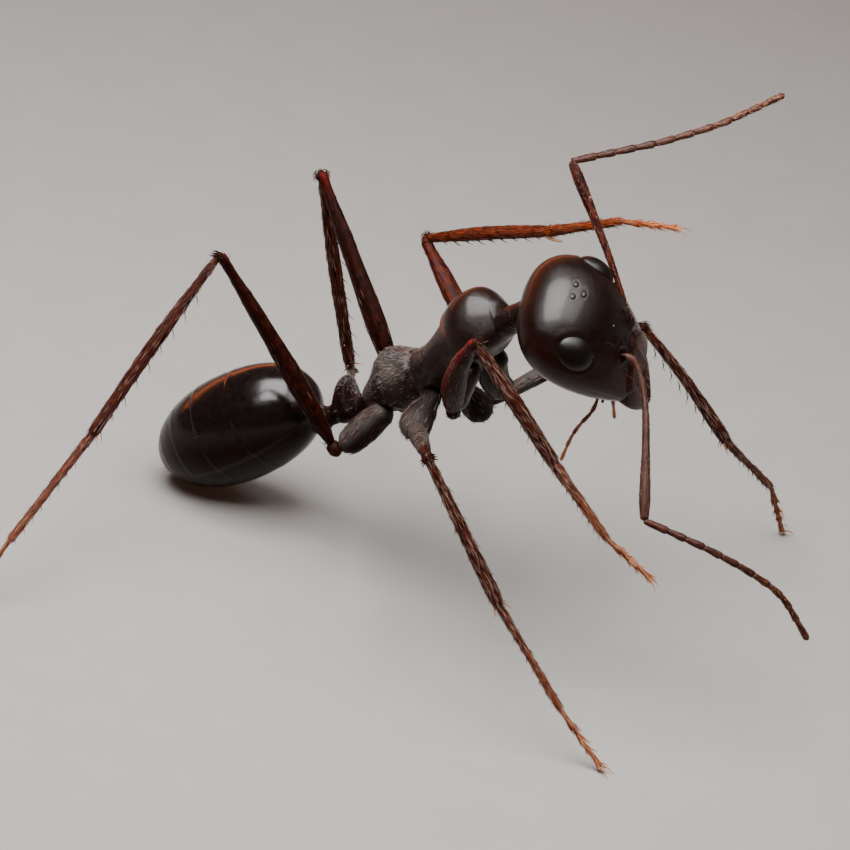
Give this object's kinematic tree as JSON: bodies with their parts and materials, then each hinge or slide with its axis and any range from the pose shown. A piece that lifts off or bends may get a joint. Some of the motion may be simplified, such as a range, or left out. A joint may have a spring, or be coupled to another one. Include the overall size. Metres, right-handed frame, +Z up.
{
  "type": "long-legged desert ant",
  "caption": "Life-size worker ant standing on its middle and hind legs with the front of the body raised and both front legs lifted.",
  "frame": {"origin": "centre of the model's outline on the floor, under the middle of the ant", "axes": "+Z up from the floor; the ant faces -Y with its head turned to its left (+X); its right side is towards -X"},
  "size_m": [0.0166, 0.0136, 0.0101],
  "materials": {
    "head": "glossy black-brown shell",
    "eye": "dark compound eye",
    "mandible": "dark red shell",
    "palp": "reddish brown, hairy",
    "scape": "dark red-brown, fine hair",
    "flagellum": "pinkish brown, dull with fine down",
    "trunk": "semi-gloss black-brown shell",
    "propodeum": "black shell under grey down",
    "gaster": "glossy black shell",
    "coxa": "black shell under grey down",
    "femur": "dark brown shell with fine hair",
    "tibia": "brown shell with fine hair",
    "tarsus": "red-brown, hairy"
  },
  "bodies": {
    "root": {"head": "head", "eye_right": "eye", "eye_left": "eye", "mandible_right": "mandible", "mandible_left": "mandible", "palp_right": "palp", "palp_left": "palp", "scape_right": "scape", "flagellum_right": "flagellum", "scape_left": "scape", "flagellum_left": "flagellum", "neck": "trunk", "pronotum": "trunk", "mesothorax": "trunk", "propodeum": "propodeum", "petiole": "propodeum", "gaster_first": "gaster", "gaster_second": "gaster", "gaster_third": "gaster", "gaster_tip": "gaster", "coxa_front_right": "coxa", "femur_front_right": "femur", "tibia_front_right": "tibia", "basitarsus_front_right": "tarsus", "foot_front_right": "tarsus", "coxa_front_left": "coxa", "femur_front_left": "femur", "tibia_front_left": "tibia", "basitarsus_front_left": "tarsus", "foot_front_left": "tarsus", "coxa_mid_right": "coxa", "femur_mid_right": "femur", "tibia_mid_right": "tibia", "basitarsus_mid_right": "tarsus", "foot_mid_right": "tarsus", "coxa_mid_left": "coxa", "femur_mid_left": "femur", "tibia_mid_left": "tibia", "basitarsus_mid_left": "tarsus", "foot_mid_left": "tarsus", "coxa_hind_right": "coxa", "femur_hind_right": "femur", "tibia_hind_right": "tibia", "basitarsus_hind_right": "tarsus", "foot_hind_right": "tarsus", "coxa_hind_left": "coxa", "femur_hind_left": "femur", "tibia_hind_left": "tibia", "basitarsus_hind_left": "tarsus", "foot_hind_left": "tarsus"}
  },
  "joints": []
}
